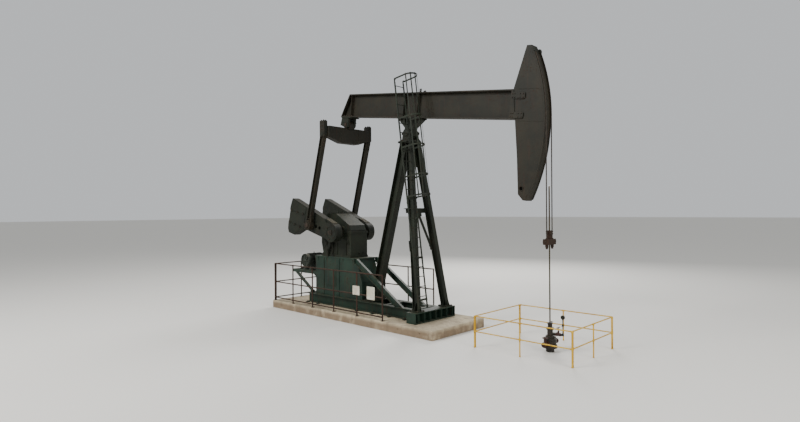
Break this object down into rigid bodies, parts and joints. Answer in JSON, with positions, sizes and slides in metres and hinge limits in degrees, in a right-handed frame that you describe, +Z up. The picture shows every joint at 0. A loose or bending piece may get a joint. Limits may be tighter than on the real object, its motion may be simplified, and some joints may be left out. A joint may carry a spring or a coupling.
{
  "type": "pumpjack",
  "caption": "Beam pumping unit with crank balance, horsehead, ladder and guard rails, standing over a wellhead on a concrete block.",
  "frame": {"origin": "on the ground below the centre bearing, at the underside of the concrete block", "axes": "+X forward from the post to the well, +Y to the far side in the picture, +Z up"},
  "size_m": [12.4723, 2.692, 8.3033],
  "materials": {
    "concrete": "weathered concrete",
    "green_paint": "weathered dark green paint",
    "dark_paint": "weathered near-black olive paint",
    "motor_paint": "dusty grey-green enamel",
    "cast_parts": "painted castings, worn",
    "belt_rubber": "dusty",
    "rusty_rail": "rusty brown pipe",
    "sign_white": "faded white",
    "yellow_paint": "faded yellow",
    "valve_red": "dull red",
    "wire_rope": "greasy wire rope",
    "bare_steel": "bare steel"
  },
  "bodies": {
    "root": {"foundation": "concrete", "base": "green_paint", "front_cross_beam": "green_paint", "pedestal": "green_paint", "pedestal_braces": "green_paint", "gear_case": "dark_paint", "gear_case_cover": "dark_paint", "motor_stand": "green_paint", "motor": "motor_paint", "belt_sheaves": "cast_parts", "drive_belts": "belt_rubber", "belt_guard": "dark_paint", "brake": "cast_parts", "near_front_leg": "dark_paint", "far_front_leg": "dark_paint", "rear_leg": "dark_paint", "leg_bracing": "dark_paint", "post_top": "dark_paint", "bearing_blocks": "cast_parts", "ladder": "dark_paint", "ladder_cage": "dark_paint", "near_crank_guard": "rusty_rail", "far_crank_guard": "rusty_rail", "rear_crank_guard": "rusty_rail", "sign_plates": "sign_white", "near_well_rail": "yellow_paint", "far_well_rail": "yellow_paint", "front_well_rail": "yellow_paint", "rear_well_rail": "yellow_paint", "wellhead": "cast_parts", "stuffing_box": "cast_parts", "flow_valves": "valve_red"},
    "beam": {"walking_beam": "dark_paint", "saddle": "cast_parts", "tail_bearing": "cast_parts", "horsehead": "dark_paint", "upper_bridle": "wire_rope"},
    "linkage": {"equalizer": "dark_paint", "near_pitman": "dark_paint", "far_pitman": "dark_paint", "crank_pins": "bare_steel"},
    "crank": {"crankshaft": "bare_steel", "near_crank": "cast_parts", "far_crank": "cast_parts", "near_counterweights": "cast_parts", "far_counterweights": "cast_parts"},
    "rod": {"carrier_bar": "cast_parts", "polished_rod": "bare_steel", "lower_bridle": "wire_rope"}
  },
  "joints": [
    {"name": "beam_rock", "type": "hinge", "parent": "root", "child": "beam", "pos_m": [0, 0, 6.37], "axis": [0, -1, 0], "range_deg": [-19.4, 22.4]},
    {"name": "tail_swing", "type": "hinge", "parent": "beam", "child": "linkage", "pos_m": [-3.091, 0, 7.01547], "axis": [0, -1, 0], "range_deg": [-22.4, 19.4]},
    {"name": "crank_turn", "type": "hinge", "parent": "root", "child": "crank", "pos_m": [-3.1, 0, 3.02], "axis": [0, -1, 0], "continuous": true},
    {"name": "rod_lift", "type": "slide", "parent": "root", "child": "rod", "axis": [0, 0, 1], "range_m": [-1.72, 1.98], "deforming": ["lower_bridle", "polished_rod"]}
  ],
  "couplings": [
    {"joint": "tail_swing", "follows": "beam_rock", "ratio": -0.99},
    {"joint": "crank_turn", "follows": "beam_rock", "ratio": 2.45},
    {"joint": "rod_lift", "follows": "beam_rock", "m_per_rad": 5.03}
  ]
}
